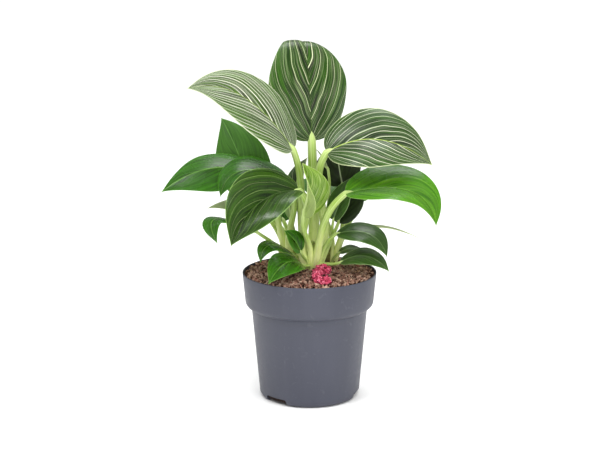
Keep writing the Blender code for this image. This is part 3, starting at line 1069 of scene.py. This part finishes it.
PAINTS: dict[BladeKind, bpy.types.Material] = {}


@dataclass
class Stem:
    """One short stem with its leaves."""

    name: str
    x: float
    y: float
    lean: Pair
    height: float
    leaves: tuple[Leaf, ...]
    radius: float = 5.3 * MM
    buried: float = 30 * MM

    def axis(self, soil: PottingMix, up: float) -> Vector:
        """Point on the stem's axis.

        Args:
            soil: The potting mix that the stem stands in.
            up: Height above the potting mix round it.

        Returns:
            The point.
        """
        x, y = self.x * MM, self.y * MM
        lean = Vector((*self.lean, 0)) * MM * up / (self.height * MM)
        return Vector((x, y, float(soil.level(x, y)) + up)) + lean

    def build(self, soil: PottingMix, paint: bpy.types.Material) -> bpy.types.Object:
        """Build the stem with a slight swelling at each ring.

        Args:
            soil: The potting mix that the stem stands in.
            paint: Material of the stem.

        Returns:
            The finished piece.
        """
        levels = np.linspace(-self.buried, self.height * MM, 40)
        known = [-self.buried, -self.buried / 2, 0, self.height * MM * 0.5, self.height * MM]
        radii = np.interp(levels, known, np.array([0.75, 1.0, 1.0, 0.88, 0.5]) * self.radius)
        radii *= 0.97 + 0.03 * np.cos(levels * math.tau / STEM_RING)
        points = np.array([self.axis(soil, level)[:] for level in levels])
        mesh = mesh_of("stem_" + self.name + "_skin", tube(points, radii, 24))
        return piece(mesh, paint, "stem_" + self.name, 50)


@dataclass
class Stalk:
    """Leaf stalk that sheathes its stem, rises and runs on as the midrib under the blade."""

    leaf: Leaf
    stem: Stem
    foot_share: float = 0.135  # its radius at the foot, as a share of the leaf's half width
    top_share: float = 0.1  # and at the blade
    thinnest: float = 1.2 * MM
    lean: float = 0.35  # outward slope as it leaves the stem
    foot_reach: float = 0.35  # how long the curve keeps its first direction
    top_reach: float = 0.4  # and its last one, as shares of the distance
    steps: int = 26
    gap: float = 1.5 * MM  # between the CAD's stalk and blade
    sheath: float = 12 * MM  # how far the sheath reaches down at most
    sheath_steps: int = 8
    run_on: float = 0.8  # share of the blade that the stalk runs on under
    sink: float = 0.06  # share over which it sinks below the blade
    least: float = 0.22 * MM  # its radius where it ends

    def build(self, soil: PottingMix, paint: bpy.types.Material) -> bpy.types.Object:
        """Build the stalk.

        Args:
            soil: The potting mix round the stem.
            paint: Material of the stalk.

        Returns:
            The finished piece.
        """
        leaf, rib = self.leaf, self.leaf.midrib()
        turn = math.radians(leaf.turn)
        out = Vector((math.sin(turn), -math.cos(turn), 0))
        foot_radius = max(self.thinnest, leaf.width * MM * self.foot_share)
        top_radius = max(self.thinnest, leaf.width * MM * self.top_share)
        axis = self.stem.axis(soil, leaf.up * MM)
        foot = axis + out * (self.stem.radius + foot_radius + GAP)
        base, forward = Vector(rib.points[0]), Vector(rib.heading[0])
        top = base - forward * self.gap
        reach = (top - foot).length
        rise = (Vector((0, 0, 1)) + out * self.lean).normalized()
        arrive = (forward + (top - foot).normalized()).normalized()
        leaving = foot + rise * reach * self.foot_reach
        arriving = top - arrive * reach * self.top_reach
        middle = geometry.interpolate_bezier(foot, leaving, arriving, top, self.steps)
        radii = np.linspace(foot_radius, top_radius, self.steps)

        # The sheath hugs the stem below the foot.
        low = axis - Vector((0, 0, min(leaf.up * MM + 2 * MM, self.sheath)))
        inner, outer = (low + out * self.stem.radius * share for share in (0.55, 1.0))
        entry = foot - rise * 3 * MM
        sheath = geometry.interpolate_bezier(inner, outer, entry, foot, self.sheath_steps)[:-1]
        widths = np.linspace(foot_radius * 0.9, foot_radius * 1.06, self.sheath_steps - 1)

        # The raised midrib thins out under the blade.
        shares = np.linspace(0.01, self.run_on, 24)
        places, headings = rib.at(rib.length * shares)
        side = turned_round(rib.side[None], headings, np.radians(leaf.roll + leaf.twist * shares))
        face = np.cross(headings, side)
        thin = top_radius * (1 - shares / self.run_on) ** 1.3 * 0.8 + self.least
        sunk = (thin + 0.1 * MM) * np.minimum(1, shares / self.sink)
        under = places - face * sunk[:, None]
        points = inside_cad(np.array([p[:] for p in (*sheath, *middle, *under)]), top_radius)
        cage = tube(points, np.array([*widths, *radii, *thin]), 14, "stalk_place")
        mesh = mesh_of("petiole_" + leaf.name, cage)
        return piece(mesh, paint, "stalk_" + leaf.name, 60)


K = BladeKind
STEMS = (
    Stem("front", 2, 4, (0, 0), 24, (
        Leaf("top", K.DARK_STRIPED, 172, 16,
             (2, 14.5, 231), (-1.5, 16.5, 342.5), (-10, 54.5, 306), 38.5, 10, 0, 14, -25),
        Leaf("upper_left", K.PALE_STRIPED, -139, 18,
             (-15, -13, 228), (-58, -23, 296), (-105, -35, 283), 29, -42, -16, 16, -15),
        Leaf("upper_right", K.STRIPED, 113, 18,
             (16, -9, 224), (61, -14, 252), (107, -20, 214), 32, 46, 0, 25, -15),
        Leaf("mid_right", K.BRIGHT, 30, 14,
             (33, -22, 190), (104, -24, 208), (109, -45, 166), 28.5, 48, 0, 26, 0),
        # Painted shade: this blade is coloured near-black for the shadow it lies in.
        Leaf("shaded_right", K.SHADED, 90, 1,
             (26, 8, 157), (36, 16, 182), (46, 22, 198), 16, 60, 0, 20, -10),
        Leaf("young", K.YOUNG, -8, 16,
             (-5, -20, 170), (4, -20, 190), (-6, -18, 216), 20, 0, -50, 50, 30),
        Leaf("front_left", K.DULL, -55, 12,
             (-10, -22, 192), (-50, -43, 197), (-67, -63, 152), 29.5, -30, -40, 44, 0),
        Leaf("low_center", K.GLOSSY, -28, 4,
             (-8, -15, 136), (-12, -18, 148), (-22, -20, 156), 10, -30, 0, 20, 0),
        Leaf("soil_front", K.GLOSSY, -10, 1,
             (-6, -17, 124), (-21, -34, 140), (-35, -59, 118), 14, -35, 0, 10, -10),
        Leaf("soil_left", K.GLOSSY, -125, 1,
             (-16, -5, 132), (-41, -16, 153), (-43, -27, 129), 11, -32, 0, 0, -10),
        Leaf("lowest_right", K.GREY, 36, 1,
             (28, -10, 125), (52, -12, 140), (70, -25, 120), 13, 40, 0, 10, -10),
        Leaf("low_right", K.GREY, 62, 5,
             (25, -6, 150), (60, -12, 160), (68, -24, 133), 16, 38, 0, 10, -10),
    )),
    Stem("left", -15, 24, (-1, 1), 24, (
        Leaf("back_left", K.MATTE, 210, 16,
             (-48, 32, 172), (-68, 30, 229), (-80, 52, 244), 26, -30, 0, 8, -10),
        Leaf("far_left", K.GLOSSY, -60, 16,
             (-48, 15, 201), (-92, 10, 217), (-131, 0, 186), 22, -50, 0, -12, -25),
        Leaf("mid_left", K.GLOSSY, -19, 16,
             (-21, 3, 197), (-71, -2, 221), (-78, -14, 185), 24, -40, 0, 10, -20),
        Leaf("low_left", K.GLOSSY, -70, 2,
             (-48, -10, 153), (-100, -25, 184), (-80, -35, 148), 15, -30, 0, 0, -10),
        # Painted light: this blade is coloured washed-out pale for the light on it.
        Leaf("rear_left", K.PAINTED_LIGHT, -115, 8,
             (-43, 16, 164), (-68, 22, 178), (-92, 24, 166), 14, -20, 0, 0, -10),
        Leaf("inner_left", K.GREY, 40, 10,
             (-16, 18, 158), (-18, 18, 170), (-20, 17, 180), 6, 0, 0, 20, 0),
        Leaf("behind_center", K.STRIPED, 85, 18,
             (-12, 20, 178), (-14, 20, 195), (-2, 28, 212), 14, 0, 0, 20, 0),
        Leaf("rear_low_left", K.GLOSSY, 155, 4,
             (-24, 46, 150), (-42, 72, 185), (-52, 96, 158), 19, 0, 0, 12, -20),
    )),
    Stem("right", 18, 24, (1, 1), 22, (
        # Painted shade: this blade is coloured near-black for the shadow it lies in.
        Leaf("rear_right", K.SHADED, 60, 16,
             (30, 32, 186), (24, 30, 212), (26, 52, 222), 21, 0, 0, 10, 0),
        Leaf("inner_right", K.GREY, 16, 12,
             (21.6, 4.9, 160.3), (27, 4, 178), (38, 5, 199), 11, 30, 0, 30, 0),
        # Painted light: this blade is coloured washed-out pale for the light on it.
        Leaf("low_right_back", K.PAINTED_LIGHT, 90, 6,
             (38, 25, 146), (68, 30, 155), (103, 35, 134), 12, -5, 0, 10, -10),
        Leaf("low_back", K.GREY, 20, 1,
             (27, 12, 128), (41, 15, 136), (52, 20, 126), 8, 0, 0, 10, -10),
        Leaf("behind_top", K.STRIPED, -150, 16,
             (16, 22, 204), (10, 24, 219), (4, 24, 221), 10, 0, 0, 10, -10),
        Leaf("rear_far_right", K.GLOSSY, 120, 14,
             (48, 42, 170), (78, 55, 215), (108, 60, 185), 22, 0, 0, 12, -20),
        Leaf("rear_middle", K.MATTE, 165, 12,
             (10, 48, 172), (12, 75, 195), (14, 100, 172), 19, 0, 0, 12, -20),
    )),
)  # fmt: skip


# Studio


@dataclass
class Studio:
    """Camera, pale floor, white surroundings and soft lamps."""

    camera_place: Point = (0.0, -1.402, 0.480)
    camera_pitch: float = 77.0
    lens: float = 97.14
    shift: float = -0.0158
    sky: float = 0.38
    suns: tuple[Point, ...] = ((34, 30, 2.2), (38, -165, 0.9))  # tilt and turn, and strength
    sun_angle: float = 55.0
    target: Point = (0.0, 0.0, 0.2)
    lamps: tuple[tuple[str, Point, float, float, bool], ...] = (
        ("overhead", (0.1, 0.4, 1.5), 0.7, 10, True),
        ("front", (0.3, -1.3, 0.35), 0.9, 6, False),
        ("front_left", (-0.5, -0.5, 1.0), 0.3, 5, True),
    )  # name, place, size, watts, and whether glossy surfaces mirror it
    floor_size: float = 40.0
    floor_cloud: float = 333 * MM

    def build(self) -> None:
        """Set up everything that isn't part of the plant."""
        scene = bpy.context.scene
        scene.view_settings.view_transform = "Standard"
        eye = bpy.data.cameras.new("camera")
        eye.lens, eye.sensor_width, eye.shift_x = self.lens, 36, self.shift
        scene.camera = placed("camera", eye)
        scene.camera.location = self.camera_place
        scene.camera.rotation_euler = (math.radians(self.camera_pitch), 0, 0)

        world = bpy.data.worlds.new("white_surroundings")
        scene.world = world
        world.use_nodes = True
        background = world.node_tree.nodes["Background"]
        background.inputs["Color"].default_value = (1, 1, 1, 1)
        background.inputs["Strength"].default_value = self.sky
        self.lights()
        self.floor()

    def lights(self) -> None:
        """Add two broad suns that no surface mirrors, and the soft square lamps."""
        for tilt, turn, power in self.suns:
            light = bpy.data.lights.new("sun", "SUN")
            light.energy, light.angle = power, math.radians(self.sun_angle)
            made = placed("sun", light)
            made.rotation_euler = (math.radians(tilt), 0, math.radians(turn))
            made.visible_glossy = False
        for name, place, size, power, mirrored in self.lamps:
            light = bpy.data.lights.new(name, "AREA")
            light.size, light.energy = size, power
            made = placed(name, light)
            made.location = place
            made.visible_glossy = mirrored
            facing = Vector(self.target) - Vector(place)
            made.rotation_euler = facing.to_track_quat("-Z", "Y").to_euler()

    def floor(self) -> None:
        """Lay a plain pale floor of matt white paper."""
        cage = bmesh.new()
        bmesh.ops.create_grid(cage, x_segments=1, y_segments=1, size=self.floor_size)
        mesh = mesh_of("floor", cage)
        r = Recipe("white_paper")
        spot = r.add("TexCoord").outputs["Object"]
        cloud = r.add("TexNoise", {"Vector": spot, "Scale": 1 / self.floor_cloud})
        colour = r.add("Mix", [cloud, "f2f2f2", "f6f6f6"], data_type="RGBA")
        r.fill(r.shader, {"Base Color": colour, "Roughness": 0.9, "Specular IOR Level": 0.1})
        mesh.materials.append(r.material)
        made = placed("floor", mesh)
        made.location.z = -0.2 * MM


def main() -> None:
    """Build the studio, the pot, the potting mix and the plant."""
    logging.basicConfig(level=logging.INFO, format="%(name)s %(message)s")
    Studio().build()
    pot = NurseryPot()
    pot.build()
    soil = PottingMix(pot)
    soil.build()
    FibreTuft(soil).build()
    for kind in BladeKind:
        PAINTS[kind] = kind.value.material()
    stem_paint, stalk_paint = StemFinish().material(), StalkFinish().material()
    order = 0
    for stem in STEMS:
        stem.build(soil, stem_paint)
        for leaf in stem.leaves:
            order += 1
            Blade(leaf, order).build()
            Stalk(leaf, stem).build(soil, stalk_paint)
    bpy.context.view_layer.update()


if __name__ == "__main__":
    main()
